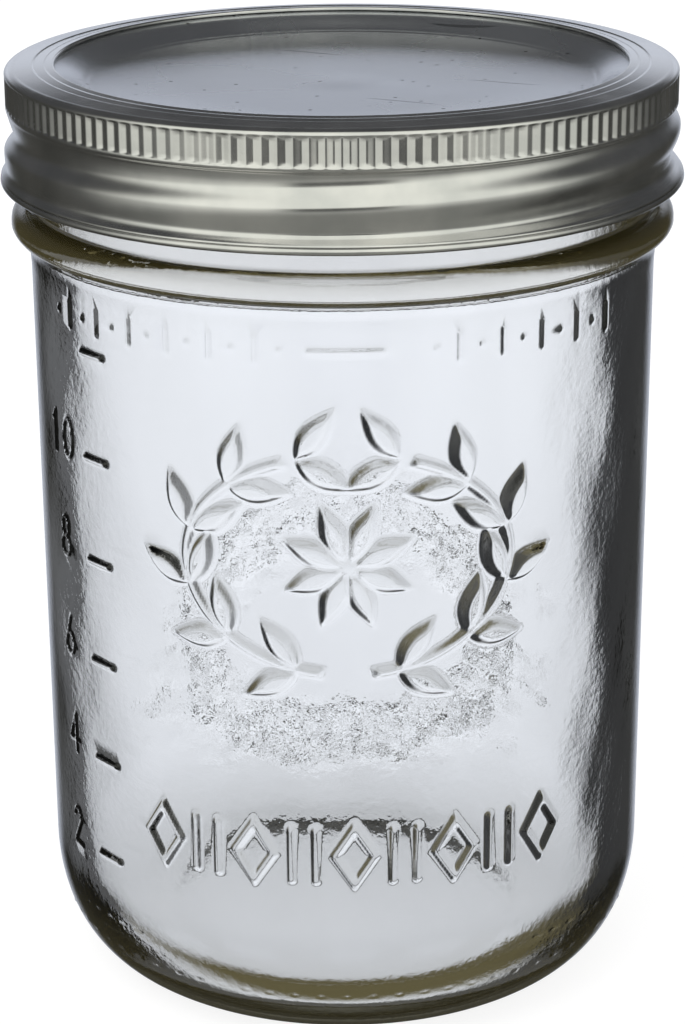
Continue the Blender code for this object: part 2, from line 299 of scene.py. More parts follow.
# %% Floor
FLOOR_HALF = 3.0
FLOOR_GAP = 0.2 * MM
sheet = bmesh.new()
bmesh.ops.create_grid(sheet, x_segments=1, y_segments=1, size=FLOOR_HALF)
floor_mesh = bpy.data.meshes.new("floor")
sheet.to_mesh(floor_mesh)
sheet.free()
floor = bpy.data.objects.new("floor", floor_mesh)
floor.location.z = -FLOOR_GAP
bpy.context.scene.collection.objects.link(floor)

paper = bpy.data.materials.new("white_paper")
paper.use_nodes = True
paper.node_tree.nodes.clear()
top = Signal(paper.node_tree)
glow = top.node("ShaderNodeEmission", {"Color": WHITE, "Strength": 0.86})
matt = top.node("ShaderNodeBsdfDiffuse", {"Color": rgb(0.25, 0.25, 0.25)})
sheet_look = top.node("ShaderNodeAddShader", {0: glow, 1: matt})
passing = top.node("ShaderNodeBsdfTransparent")
seen = top.node("ShaderNodeLightPath", output="Is Camera Ray")
surface = top.node("ShaderNodeMixShader", {0: seen, 1: passing, 2: sheet_look})
top.node("ShaderNodeOutputMaterial", {"Surface": surface})
floor_mesh.materials.append(paper)

# %% Lamp
lamp = bpy.data.lights.new("soft_box", "AREA")
lamp.energy = 3.0
lamp.size = 0.6
soft_box = bpy.data.objects.new("soft_box", lamp)
soft_box.location = (-0.35, -0.45, 0.9)
soft_box.rotation_euler = (math.radians(30), math.radians(-18), 0)
soft_box.visible_glossy = False
soft_box.visible_transmission = False
bpy.context.scene.collection.objects.link(soft_box)
bpy.context.scene.view_settings.view_transform = "Standard"
print("the lamp is", lamp.size, "m wide and gives", lamp.energy, "W")

# %% [markdown]
# Every piece here is round, so every piece starts as an outline of radius and height that the
# spin operator turns about Z. What isn't round is pressed in or raised afterwards, by moving
# points in or out along their radius, as a mould or a roller does. A piece is spun with
# columns wide enough for its plain stretches, and split finer only where relief needs it.


# %% Helpers for turned pieces
WELD = 0.0005 * MM


def spread(first, last, count):
    return [first + (last - first) * i / (count - 1) for i in range(count)]


def rows(low, high, spacing):
    """Heights from low to high, both included, about this far apart."""
    return spread(low, high, max(2, round(abs(high - low) / spacing) + 1))


def quarter(center, run, rise, steps, power=2.0):
    """Points of a quarter of a superellipse, from beside the centre to above or below it."""
    points = []
    for turn in spread(0.0, math.pi / 2, steps + 1):
        across = max(math.cos(turn), 0.0) ** (2 / power)
        along = math.sin(turn) ** (2 / power)
        points.append((center[0] + run * across, center[1] + rise * along))
    return points


def spun(profile, columns, closed):
    bm = bmesh.new()
    verts = [bm.verts.new((radius, 0, height)) for radius, height in profile]
    following = verts[1:] + verts[:1] if closed else verts[1:]
    edges = [bm.edges.new(pair) for pair in zip(verts, following)]
    turn = {"cent": (0, 0, 0), "axis": (0, 0, 1), "angle": math.tau, "steps": columns}
    bmesh.ops.spin(bm, geom=verts + edges, use_merge=True, **turn)
    bmesh.ops.remove_doubles(bm, verts=bm.verts, dist=WELD)
    bmesh.ops.recalc_face_normals(bm, faces=bm.faces)
    return bm


def split(bm, faces, cuts, along=True, across=True):
    """Cuts the faces finer: along their columns, across them, or both."""
    edges = set()
    for edge in [edge for face in faces for edge in face.edges]:
        level = abs(edge.verts[0].co.z - edge.verts[1].co.z) < WELD
        wanted = across if level else along
        if wanted:
            edges.add(edge)
    bmesh.ops.subdivide_edges(bm, edges=list(edges), cuts=cuts, use_grid_fill=True)


def finished(name, bm, material, body, node):
    """Makes the bmesh a smooth object that stands for a solid of the model and rides its body."""
    mesh = bpy.data.meshes.new(name)
    bm.to_mesh(mesh)
    bm.free()
    mesh.materials.append(material)
    mesh.shade_smooth()
    piece = bpy.data.objects.new(name, mesh)
    bpy.context.scene.collection.objects.link(piece)
    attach(piece, body)
    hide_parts(node)
    print(name, "has", len(mesh.polygons), "faces and is", round(piece.dimensions.x / MM, 1), "mm wide")
    return piece


def sculpt(piece, moved):
    """Moves a mesh's points along their radius: moved gives the new radius of each."""
    mesh = piece.data
    points = np.empty(len(mesh.vertices) * 3)
    mesh.vertices.foreach_get("co", points)
    points = points.reshape(-1, 3)
    radius = np.hypot(points[:, 0], points[:, 1])
    angle = np.arctan2(points[:, 1], points[:, 0])
    new_radius = moved(radius, angle, points[:, 2])
    points[:, 0] = new_radius * np.cos(angle)
    points[:, 1] = new_radius * np.sin(angle)
    mesh.vertices.foreach_set("co", points.ravel())
    mesh.update()
    moved_by = new_radius - radius
    print(piece.name, "moved", round(moved_by.min() / MM, 2), "to", round(moved_by.max() / MM, 2), "mm")


def soft(share):
    """Soft step of a share from 0 to 1."""
    share = np.clip(share, 0.0, 1.0)
    return share * share * (3 - 2 * share)


def empty_material(name):
    """A material with no nodes yet, and a signal to add its nodes with."""
    material = bpy.data.materials.new(name)
    material.use_nodes = True
    material.node_tree.nodes.clear()
    return material, Signal(material.node_tree)


# %% [markdown]
# Both threads follow one helix. The glass ridge goes down as it goes clockwise seen from
# above, which is a right-handed thread, and fades in at its start and out at its end. The
# metal band has the same helix pressed inwards a little lower, so that it hooks under the
# glass ridge.

# %% Threads
LEAD = 6.35 * MM
GLASS_THREAD = {
    "zero": 121.36 * MM, "above": 1.6 * MM, "below": 1.6 * MM,
    "start": -60, "turn": 450, "fade_in": 30, "fade_out": 30,
}
BAND_GROOVE = {
    "zero": 119.13 * MM, "above": 4.0 * MM, "below": 2.2 * MM,
    "start": 90, "turn": 670, "fade_in": 60, "fade_out": 190,
}

print("the glass thread makes", GLASS_THREAD["turn"] / 360, "turns of", round(LEAD / MM, 2), "mm")


def helix_relief(helix, angle, height):
    """How much of the ridge's full depth stands at each place, from 0 to 1."""
    start, turn = math.radians(helix["start"]), math.radians(helix["turn"])
    fade_in, fade_out = math.radians(helix["fade_in"]), math.radians(helix["fade_out"])
    relief = np.zeros_like(height)
    first = angle + math.tau * np.ceil((start - angle) / math.tau)
    for lap in range(3):
        turned = first - math.tau * lap
        off = height - helix["zero"] - LEAD * turned / math.tau
        off = off / np.where(off > 0, helix["above"], helix["below"])
        ridge = soft((start - turned) / fade_in) * soft((turned - start + turn) / fade_out)
        ridge = ridge * np.where(abs(off) < 1, (1 + np.cos(np.pi * off)) / 2, 0.0)
        relief = np.maximum(relief, ridge)
    return relief


# %% [markdown]
# The jar is one closed shell of glass. Its outside goes from the pushed-up middle of the base
# over the bearing ring, up the rounded heel and the straight wall, over the bead under the
# closure and up the finish to the rim. Its inside comes back down the bore and the wall to
# the thick floor. Light bends at both faces, so the inside has to be a real surface too.

# %% Glass jar: outline
BODY_RADIUS = 41.4 * MM
BODY_TAPER = 0.4 * MM
HEEL_RUN = 11.0 * MM
HEEL_RISE = 17.0 * MM
HEEL_POWER = 2.1
BEARING_WIDTH = 3.5 * MM
PUSH_UP = 2.0 * MM
INNER_RADIUS = 37.4 * MM
FLOOR_TOP = 5.2 * MM
INNER_HEEL_RUN = 7.6 * MM
INNER_HEEL_RISE = 11.8 * MM
BEAD_HEIGHT = JAR_TOP - 17.9 * MM
BEAD_HALF = 2.3 * MM
BEAD_ABOVE = 2.1 * MM
BEAD_PROUD = 2.5 * MM
FINISH_RADIUS = 41.3 * MM
MOUTH_RADIUS = 38.1 * MM
MOUTH_DEPTH = 11.0 * MM
RIM_ROUNDING = 1.2 * MM
MOUTH_ROUNDING = 0.8 * MM
JAR_COLUMNS = 144
ROW = 1.8 * MM
FINE_ROW = 0.5 * MM
INNER_ROW = 3.0 * MM
print("the wall is", round((BODY_RADIUS - INNER_RADIUS) / MM, 1), "mm thick")


def wall_radius(height):
    """Radius of the outer wall, and of the heel below it."""
    share = np.clip((height - HEEL_RISE) / (BEAD_HEIGHT - BEAD_HALF - HEEL_RISE), 0, 1)
    drop = np.clip((HEEL_RISE - height) / HEEL_RISE, 0, 1)
    heel = HEEL_RUN * (1 - (1 - drop**HEEL_POWER) ** (1 / HEEL_POWER))
    return BODY_RADIUS - BODY_TAPER * (1 - share) - heel


def jar_outside():
    ring = BODY_RADIUS - BODY_TAPER - HEEL_RUN
    inner_ring = ring - BEARING_WIDTH
    points = [(inner_ring * share, PUSH_UP * (1 - share**4)) for share in spread(0, 1, 12)]
    heel = quarter((ring, HEEL_RISE), HEEL_RUN, -HEEL_RISE, 24, HEEL_POWER)
    points += heel[::-1]
    bead_foot = BEAD_HEIGHT - BEAD_HALF
    points += [(wall_radius(height), height) for height in rows(HEEL_RISE, bead_foot, ROW)[1:-1]]
    for turn in spread(-math.pi / 2, math.pi / 2, 13):
        root = BODY_RADIUS if turn < 0 else FINISH_RADIUS
        half = BEAD_HALF if turn < 0 else BEAD_ABOVE
        bulge = (BEAD_PROUD * math.cos(turn), half * math.sin(turn))
        points.append((root + bulge[0], BEAD_HEIGHT + bulge[1]))
    corner = (FINISH_RADIUS - RIM_ROUNDING, JAR_TOP - RIM_ROUNDING)
    finish = rows(BEAD_HEIGHT + BEAD_ABOVE, corner[1], FINE_ROW)[1:-1]
    points += [(FINISH_RADIUS, height) for height in finish]
    points += quarter(corner, RIM_ROUNDING, RIM_ROUNDING, 5)
    return points


def jar_inside():
    corner = (MOUTH_RADIUS + MOUTH_ROUNDING, JAR_TOP - MOUTH_ROUNDING)
    points = quarter(corner, -MOUTH_ROUNDING, MOUTH_ROUNDING, 4)[::-1]
    shoulder = (INNER_RADIUS + BODY_TAPER, BEAD_HEIGHT - BEAD_HALF)
    for share in spread(0, 1, 8):
        widened = float(soft(share))
        radius = MOUTH_RADIUS + (shoulder[0] - MOUTH_RADIUS) * widened
        height = JAR_TOP - MOUTH_DEPTH
        points.append((radius, height + (shoulder[1] - height) * share))
    heel_top = FLOOR_TOP + INNER_HEEL_RISE
    points += [(INNER_RADIUS, height) for height in rows(shoulder[1], heel_top, INNER_ROW)[1:-1]]
    corner = (INNER_RADIUS - INNER_HEEL_RUN, heel_top)
    points += quarter(corner, INNER_HEEL_RUN, -INNER_HEEL_RISE, 16)
    floor_edge = INNER_RADIUS - INNER_HEEL_RUN
    for share in spread(1, 0, 10)[1:]:
        points.append((floor_edge * share, FLOOR_TOP + PUSH_UP * (1 - share * share)))
    return points


# %% [markdown]
# The relief is drawn flat, as a mould maker would, on the wall rolled out: across, from the
# front to the right, and up. Each stroke is a distance: how far a place lies outside its edge.
# A distance below zero is inside the stroke, and a soft step turns it into a rounded ridge.
# The glass carries a leaf wreath with a flower, a border of lozenges and bars, a scale of
# short bars with plain numbers, a fill line with a row of small bars, and a ring of stipple
# on the back.


# %% Strokes of the relief
def bar(u, z, start, end, half):
    """A straight stroke with round ends."""
    du, dz = end[0] - start[0], end[1] - start[1]
    length = du * du + dz * dz
    share = np.clip(((u - start[0]) * du + (z - start[1]) * dz) / max(length, WELD**2), 0, 1)
    return np.hypot(u - start[0] - share * du, z - start[1] - share * dz) - half


def hoop(u, z, center, across, up, half):
    """A stroke along an ellipse."""
    du, dz = u - center[0], z - center[1]
    reach = np.hypot(du / across, dz / up)
    slope = np.hypot(du / across**2, dz / up**2) / np.maximum(reach, WELD)
    return abs(reach - 1) / np.maximum(slope, 1 / (across + up)) - half


def leaf(u, z, base, angle, length, half):
    """A pointed leaf that starts at its base and grows along its angle."""
    du, dz = u - base[0], z - base[1]
    along = (du * math.cos(angle) + dz * math.sin(angle)) / length
    side = abs(-du * math.sin(angle) + dz * math.cos(angle))
    width = half * np.sin(np.pi * np.clip(along, 0, 1) ** 0.8)
    beyond = np.maximum(abs(along - 0.5) - 0.5, 0) * length
    return side - width + beyond


def raised(distance, height, flank):
    return height * soft(-distance / flank)


# %% Digits and the scale
DIGIT_HIGH = 5.4 * MM
DIGIT_WIDE = 2.9 * MM
DIGIT_HALF = 0.32 * MM
DIGIT_STROKES = {
    "0": [("hoop", 0.5, 0.5, 0.42, 0.48)],
    "1": [("bar", 0.5, 0.0, 0.5, 1.0), ("bar", 0.5, 1.0, 0.2, 0.8)],
    "2": [
        ("bar", 0.08, 0.78, 0.3, 0.97),
        ("bar", 0.3, 0.97, 0.68, 0.97),
        ("bar", 0.68, 0.97, 0.9, 0.74),
        ("bar", 0.9, 0.74, 0.08, 0.02),
        ("bar", 0.08, 0.02, 0.95, 0.02),
    ],
    "4": [("bar", 0.7, 0.0, 0.7, 1.0), ("bar", 0.7, 1.0, 0.05, 0.3), ("bar", 0.05, 0.3, 1.0, 0.3)],
    "6": [("hoop", 0.5, 0.28, 0.4, 0.28), ("bar", 0.1, 0.3, 0.62, 1.0)],
    "8": [("hoop", 0.5, 0.25, 0.42, 0.25), ("hoop", 0.5, 0.75, 0.34, 0.24)],
}
TICK_ANGLE = math.radians(-50.2)
TICK_WIDE = 5.7 * MM
TICK_HALF = 0.62 * MM
TICK_HIGH = 0.5 * MM
TICK_FLANK = 0.55 * MM
TICKS = spread(22.3 * MM, 92.3 * MM, 6)
NUMBER_ANGLE = math.radians(-61.5)
NUMBERS = ("2", "4", "6", "8", "10")
NUMBER_HIGH = 0.3 * MM
NUMBER_FLANK = 0.3 * MM
NUMBER_PITCH = 1.35 * DIGIT_WIDE
print("the scale has", len(TICKS), "bars,", round((TICKS[1] - TICKS[0]) / MM, 1), "mm apart")


def digit_distance(u, z, digit):
    """How far each place lies outside a digit whose lower left corner is at 0, 0."""
    nearest = np.full_like(u, 1.0)
    for kind, a, b, c, d in DIGIT_STROKES[digit]:
        if kind == "bar":
            start = (a * DIGIT_WIDE, b * DIGIT_HIGH)
            end = (c * DIGIT_WIDE, d * DIGIT_HIGH)
            stroke = bar(u, z, start, end, DIGIT_HALF)
        else:
            center = (a * DIGIT_WIDE, b * DIGIT_HIGH)
            stroke = hoop(u, z, center, c * DIGIT_WIDE, d * DIGIT_HIGH, DIGIT_HALF)
        nearest = np.minimum(nearest, stroke)
    return nearest


def scale_relief(u, z):
    relief = np.zeros_like(u)
    middle = TICK_ANGLE * BODY_RADIUS
    for height in TICKS:
        ends = (middle - TICK_WIDE / 2 + TICK_HALF, middle + TICK_WIDE / 2 - TICK_HALF)
        stroke = bar(u, z, (ends[0], height), (ends[1], height), TICK_HALF)
        relief = np.maximum(relief, raised(stroke, TICK_HIGH, TICK_FLANK))
    for number, height in zip(NUMBERS, TICKS):
        left = NUMBER_ANGLE * BODY_RADIUS - NUMBER_PITCH * len(number) / 2
        for place, digit in enumerate(number):
            corner = (left + NUMBER_PITCH * place, height - DIGIT_HIGH / 4)
            stroke = digit_distance(u - corner[0], z - corner[1], digit)
            relief = np.maximum(relief, raised(stroke, NUMBER_HIGH, NUMBER_FLANK))
    return relief


# %% Wreath
WREATH_CENTER = (0.4 * MM, 69.2 * MM)
WREATH_ACROSS = 21.0 * MM
WREATH_UP = 14.5 * MM
LEAVES = 6
LEAF_LONG = 9.0 * MM
LEAF_HALF = 2.1 * MM
LEAF_LEAN = 0.7
PETALS = 8
PETAL_LONG = 9.5 * MM
PETAL_HALF = 2.2 * MM
BRANCH_HALF = 1.0 * MM
BRANCH_HIGH = 0.8 * MM
BRANCH_TURNS = (-1.44, 1.2)
LEAF_TURNS = (-1.28, 1.25)
HEART_RADIUS = 1.9 * MM
HEART_HIGH = 1.0 * MM
ORNAMENT_HIGH = 1.2 * MM
LEAF_FLANK = 1.5 * MM
PETAL_FLANK = 1.6 * MM
HEART_FLANK = 1.2 * MM
print("the wreath has", 4 * LEAVES, "leaves round a flower of", PETALS, "petals")


def wreath_relief(u, z):
    """Two leafy branches that meet below, round a flower."""
    relief = np.zeros_like(u)
    for side in (-1, 1):
        across = (u - WREATH_CENTER[0]) * side
        up = z - WREATH_CENTER[1]
        branch = hoop(across, up, (0, 0), WREATH_ACROSS, WREATH_UP, BRANCH_HALF)
        turn = np.arctan2(up / WREATH_UP, across / WREATH_ACROSS)
        beyond = np.maximum(BRANCH_TURNS[0] - turn, turn - BRANCH_TURNS[1])
        branch = np.maximum(branch, beyond * WREATH_UP)
        relief = np.maximum(relief, raised(branch, BRANCH_HIGH, BRANCH_HALF))
        for turn in spread(*LEAF_TURNS, LEAVES):
            base = (WREATH_ACROSS * math.cos(turn), WREATH_UP * math.sin(turn))
            heading = math.atan2(WREATH_UP * math.cos(turn), -WREATH_ACROSS * math.sin(turn))
            for lean in (-LEAF_LEAN, LEAF_LEAN):
                blade = leaf(across, up, base, heading + lean, LEAF_LONG, LEAF_HALF)
                relief = np.maximum(relief, raised(blade, ORNAMENT_HIGH, LEAF_FLANK))
    for place in range(PETALS):
        angle = math.tau * (place + 0.5) / PETALS
        du, dz = u - WREATH_CENTER[0], z - WREATH_CENTER[1]
        petal = leaf(du, dz, (0, 0), angle, PETAL_LONG, PETAL_HALF)
        relief = np.maximum(relief, raised(petal, ORNAMENT_HIGH, PETAL_FLANK))
    heart = bar(u, z, WREATH_CENTER, WREATH_CENTER, HEART_RADIUS)
    return np.maximum(relief, raised(heart, HEART_HIGH, HEART_FLANK))


# %% Border
BORDER_LEFT = math.radians(-42) * BODY_RADIUS + 5.0 * MM
BORDER_RIGHT = math.radians(45) * BODY_RADIUS - 5.0 * MM
BORDER_FOOT = 25.0 * MM
BORDER_HIGH = 9.0 * MM
LOZENGES = 5
LOZENGE_ACROSS = 2.9 * MM
LOZENGE_UP = BORDER_HIGH / 2
LINE_SHARE = 0.9
BARS_ASIDE = 1.6 * MM
BAR_SHARE = 0.8
STROKE_HALF = 0.8 * MM
STROKE_HIGH = 0.65 * MM
STROKE_FLANK = 0.7 * MM
print("the border has", LOZENGES, "lozenges and", 2 * (LOZENGES - 1), "bars")


def border_relief(u, z):
    """Lozenges, with a pair of upright bars between each two."""
    relief = np.zeros_like(u)
    places = spread(BORDER_LEFT, BORDER_RIGHT, 2 * LOZENGES - 1)
    middle = BORDER_FOOT + BORDER_HIGH / 2
    for place, across in enumerate(places):
        if place % 2:
            for aside in (-BARS_ASIDE, BARS_ASIDE):
                foot = (across + aside, middle - BAR_SHARE * BORDER_HIGH / 2)
                head = (across + aside, middle + BAR_SHARE * BORDER_HIGH / 2)
                stroke = bar(u, z, foot, head, STROKE_HALF)
                relief = np.maximum(relief, raised(stroke, STROKE_HIGH, STROKE_FLANK))
        else:
            slant = abs(u - across) / LOZENGE_ACROSS + abs(z - middle) / LOZENGE_UP
            side = LOZENGE_ACROSS * LOZENGE_UP / math.hypot(LOZENGE_ACROSS, LOZENGE_UP)
            stroke = abs(slant - LINE_SHARE) * side - STROKE_HALF
            relief = np.maximum(relief, raised(stroke, STROKE_HIGH, STROKE_FLANK))
    return relief


# %% Fill line
FILL_LINE = 96.8 * MM
FILL_LEFT = -4.3 * MM
FILL_RIGHT = 4.8 * MM
FILL_HALF = 0.6 * MM
FILL_HIGH = 0.45 * MM
FILL_FLANK = 0.55 * MM
FILL_BARS = {-1: (11, 61), 1: (16, 53)}    # degrees from the front, on the left and the right
FILL_BAR_PITCH = 2.9 * MM
FILL_BAR_TALL = 1.7 * MM
FILL_BAR_SHORT = 0.15 * MM
FILL_BAR_HALF = 0.45 * MM
FILL_BAR_HIGH = 0.35 * MM
FILL_BAR_FLANK = 0.4 * MM
print("the fill line is", round((FILL_RIGHT - FILL_LEFT) / MM, 1), "mm long")


def fill_relief(u, z):
    """The fill line at the front, and a row of small upright bars on both sides of it."""
    stroke = bar(u, z, (FILL_LEFT, FILL_LINE), (FILL_RIGHT, FILL_LINE), FILL_HALF)
    relief = raised(stroke, FILL_HIGH, FILL_FLANK)
    for side, (first, last) in FILL_BARS.items():
        low = math.radians(first) * BODY_RADIUS
        high = math.radians(last) * BODY_RADIUS
        for place, across in enumerate(rows(low, high, FILL_BAR_PITCH)):
            half_high = FILL_BAR_TALL if place % 2 else FILL_BAR_SHORT
            foot = (side * across, FILL_LINE - half_high)
            stroke = bar(u, z, foot, (side * across, FILL_LINE + half_high), FILL_BAR_HALF)
            relief = np.maximum(relief, raised(stroke, FILL_BAR_HIGH, FILL_BAR_FLANK))
    return relief


# %% Stipple on the back
STIPPLE_PITCH = 0.85 * MM
MEDALLION_CENTER = (0.0, 30.0 * MM)
MEDALLION_ACROSS = 25.0 * MM
MEDALLION_UP = 18.5 * MM
MEDALLION_HALF = 4.0 * MM
GRAIN_HIGH = 0.55 * MM
GRAIN_SHARE = 0.75
EDGE_WAVE = 1.5 * MM
EDGE_WAVE_PITCH = (3.1 * MM, 2.7 * MM)
PATCH_PITCH = (2.3 * MM, 3.7 * MM)
RING_BLUR = 2.0 * MM
print("the ring has about", round((10 * MM / STIPPLE_PITCH) ** 2), "grains to a square centimetre")


def stipple(u, z):
    """Round grains of glass, one at a random place in each square of a net."""
    relief = np.zeros_like(u)
    column, row = np.floor(u / STIPPLE_PITCH), np.floor(z / STIPPLE_PITCH)
    for aside in (-1, 0, 1):
        for above in (-1, 0, 1):
            i, j = column + aside, row + above
            hashed = np.sin(i * 127.1 + j * 311.7) * 43758.5453
            more = np.sin(i * 269.5 + j * 183.3) * 24634.6345
            center_u = (i + hashed - np.floor(hashed)) * STIPPLE_PITCH
            center_z = (j + more - np.floor(more)) * STIPPLE_PITCH
            grain = np.hypot(u - center_u, z - center_z) / (GRAIN_SHARE * STIPPLE_PITCH)
            relief = np.maximum(relief, np.clip(1 - grain * grain, 0, 1))
    return relief


def medallion_relief(u, z):
    """A ring of grains with wavy edges."""
    ring = hoop(u, z, MEDALLION_CENTER, MEDALLION_ACROSS, MEDALLION_UP, MEDALLION_HALF)
    ring = ring + EDGE_WAVE * np.sin(u / EDGE_WAVE_PITCH[0]) * np.sin(z / EDGE_WAVE_PITCH[1])
    patchy = 0.5 + 0.5 * np.sin(u / PATCH_PITCH[0] + 2 * np.sin(z / PATCH_PITCH[1]))
    return GRAIN_HIGH * stipple(u, z) * soft(3 * (0.75 - ring / RING_BLUR - 0.5 * patchy))


# %% All the relief of the wall
DOTS = 73
DOT_HEIGHT = 8.3 * MM
DOT_RADIUS = 0.4 * MM
DOT_HIGH = 0.16 * MM


def front_arc(angle):
    """Distance along the wall from the front to the right."""
    turned = np.arctan2(np.cos(angle), -np.sin(angle))
    return turned * BODY_RADIUS


def back_arc(angle):
    """Distance along the wall from the back, to the left as seen from there."""
    turned = np.arctan2(np.cos(angle), np.sin(angle))
    return turned * BODY_RADIUS


def heel_dots(u, z):
    """A ring of small raised dots round the heel, which the mould's base plate leaves."""
    pitch = math.tau * BODY_RADIUS / DOTS
    off = u - pitch * np.round(u / pitch)
    return raised(np.hypot(off, z - DOT_HEIGHT) - DOT_RADIUS, DOT_HIGH, DOT_RADIUS)


def front_relief(angle, height):
    u = front_arc(angle)
    relief = np.maximum(wreath_relief(u, height), border_relief(u, height))
    return np.maximum(relief, np.maximum(scale_relief(u, height), fill_relief(u, height)))


def dot_relief(angle, height):
    return heel_dots(front_arc(angle), height)


def back_relief(angle, height):
    return medallion_relief(back_arc(angle), height)


# %% Where the mesh is cut finer
RELIEF_CUTS = 5
GRAIN_CUTS = 5
DOT_CUTS = 3
RELIEF_FOOT = 7.0 * MM
PARTING = 100.4 * MM
OUTER_WALL = INNER_RADIUS + 1.5 * MM
PROBES = spread(-0.5, 0.5, 7)


def wall_faces(bm, low, high):
    """The faces of the outer wall between two heights."""
    faces = []
    for face in bm.faces:
        center = face.calc_center_median()
        if low < center.z < high and math.hypot(center.x, center.y) > OUTER_WALL:
            faces.append(face)
    return faces


def faces_under(bm, relief):
    """The faces of the outer wall that some of the relief rises in."""
    faces = wall_faces(bm, RELIEF_FOOT, PARTING - ROW)
    centers = np.array([face.calc_center_median() for face in faces])
    high = np.array([np.ptp([vert.co.z for vert in face.verts]) for face in faces])
    angle = np.arctan2(centers[:, 1], centers[:, 0])
    touched = np.zeros(len(faces), dtype=bool)
    for aside in PROBES:
        for above in PROBES:
            turned = angle + aside * math.tau / JAR_COLUMNS
            touched |= relief(turned, centers[:, 2] + above * high) > 0
    return [face for face, hit in zip(faces, touched) if hit]


# %% Moving the points of the glass
THREAD_DEPTH = 1.7 * MM
PARTING_HALF = 0.5 * MM
PARTING_HIGH = 0.15 * MM
INNER_WALL = INNER_RADIUS + 2.0 * MM
BROAD_WAVES = 5
BROAD_WAVE_DEEP = 0.10 * MM
SWAY = 0.9
SWAY_RISE = 11.0 * MM
# Each wave of the inner wall: how many go round, how steeply they climb, and how deep they are
WAVES = ((13, 6.0 * MM, 0.05 * MM), (3, 4.7 * MM, 0.05 * MM), (31, -3.1 * MM, 0.02 * MM))
CALM_BELOW = 15.0 * MM
CALM_ABOVE = 20.0 * MM


def wall_wave(angle, height):
    """The gentle waves of the inner wall, which no mould touches as evenly as the outer one."""
    sway = SWAY * np.sin(height / SWAY_RISE)
    wave = BROAD_WAVE_DEEP * np.sin(BROAD_WAVES * angle + sway)
    for around, climb, deep in WAVES:
        wave = wave + deep * np.sin(around * angle + height / climb)
    fade = soft((height - FLOOR_TOP) / CALM_BELOW) * soft((JAR_TOP - height) / CALM_ABOVE - 0.5)
    return wave * fade


def jar_relief(radius, angle, height):
    """New radius of every point of the glass."""
    outside = radius > FINISH_RADIUS - RIM_ROUNDING - WELD
    on_wall = (radius > OUTER_WALL) & (height < BEAD_HEIGHT - BEAD_HALF)
    on_wall = on_wall & (height > RELIEF_FOOT)
    on_finish = outside & (height > BEAD_HEIGHT + BEAD_ABOVE)
    inside = (radius < INNER_WALL) & ~outside
    relief = front_relief(angle, height) + dot_relief(angle, height) + back_relief(angle, height)
    relief = relief + raised(abs(height - PARTING) - PARTING_HALF, PARTING_HIGH, PARTING_HALF)
    radius = np.where(on_wall, wall_radius(height) + relief, radius)
    thread = THREAD_DEPTH * helix_relief(GLASS_THREAD, angle, height)
    radius = np.where(on_finish, radius + thread, radius)
    return np.where(inside, radius + wall_wave(angle, height), radius)


# %% [markdown]
# Clear glass needs an index of refraction and no roughness. Its color comes from the volume:
# the glass swallows blue first, and a little of the rest, for each millimetre that light goes
# through it, so the wall stays clear and the thick heel turns olive. A faint bump stands for
# the ripple that pressing leaves on every jar, and a rougher one lies between the grains of the
# ring. In the thick bead and the heel, light is scattered a little, so a thin olive haze is
# mixed in there.

# %% Clear glass
RIPPLE_SHARE = 0.55
GRIT_SHARE = 6.0
BLOTCH_SHARE = 1.6
RING_EDGE = (0.06, 0.20)
BEAD_HAZE = 0.10
HEEL_HAZE = 0.05
HAZY_BEAD = (-0.5 * MM, 1.0 * MM)
HAZY_HEEL = (4.0 * MM, 15.0 * MM)
glass, clear = empty_material("pressed_glass")
place_on_jar = clear.node("ShaderNodeTexCoord", output="Object")
jar_axes = axes(place_on_jar)
ripple = clear.node(
    "ShaderNodeTexNoise", {"Vector": place_on_jar, "Scale": 1000.0, "Detail": 2.0, "Roughness": 0.55}
)
swell = noise(place_on_jar, scale=110.0, detail=1.0)
grit = noise(place_on_jar, scale=1500.0, detail=0.0)
blotch = noise(place_on_jar, scale=190.0, detail=2.0)
ring_across = jar_axes["X"] / MEDALLION_ACROSS
ring_up = (jar_axes["Z"] - MEDALLION_CENTER[1]) / MEDALLION_UP
reach = clear.math("SQRT", ring_across * ring_across + ring_up * ring_up)
off_ring = abs(reach - 1.0) - (blotch - 0.5) * BLOTCH_SHARE
gritty = (1.0 - off_ring.step(*RING_EDGE)) * (jar_axes["Y"] > BODY_RADIUS / 2)
uneven = ripple * RIPPLE_SHARE + swell + grit * gritty * GRIT_SHARE
bump = clear.node("ShaderNodeBump", {"Height": uneven, "Strength": 1.0, "Distance": 0.035 * MM})
skin = clear.node(
    "ShaderNodeBsdfPrincipled",
    {
        "Base Color": rgb(1.0, 1.0, 1.0),
        "Roughness": 0.0,
        "IOR": 1.5,
        "Transmission Weight": 1.0,
        "Normal": bump,
    },
)
depth = clear.node(
    "ShaderNodeVolumeAbsorption", {"Color": rgb(0.66, 0.62, 0.10), "Density": 6.5}
)
haze = clear.node("ShaderNodeBsdfDiffuse", {"Color": rgb(0.42, 0.35, 0.13)})
in_bead = (jar_axes["Z"] - BEAD_HEIGHT + BEAD_HALF).step(*HAZY_BEAD)
in_heel = 1.0 - jar_axes["Z"].step(*HAZY_HEEL)
thick = in_bead * BEAD_HAZE + in_heel * HEEL_HAZE
body = clear.node("ShaderNodeMixShader", {0: thick, 1: skin, 2: haze})
clear.node("ShaderNodeOutputMaterial", {"Surface": body, "Volume": depth})
print("the glass is made with", len(glass.node_tree.nodes), "nodes")

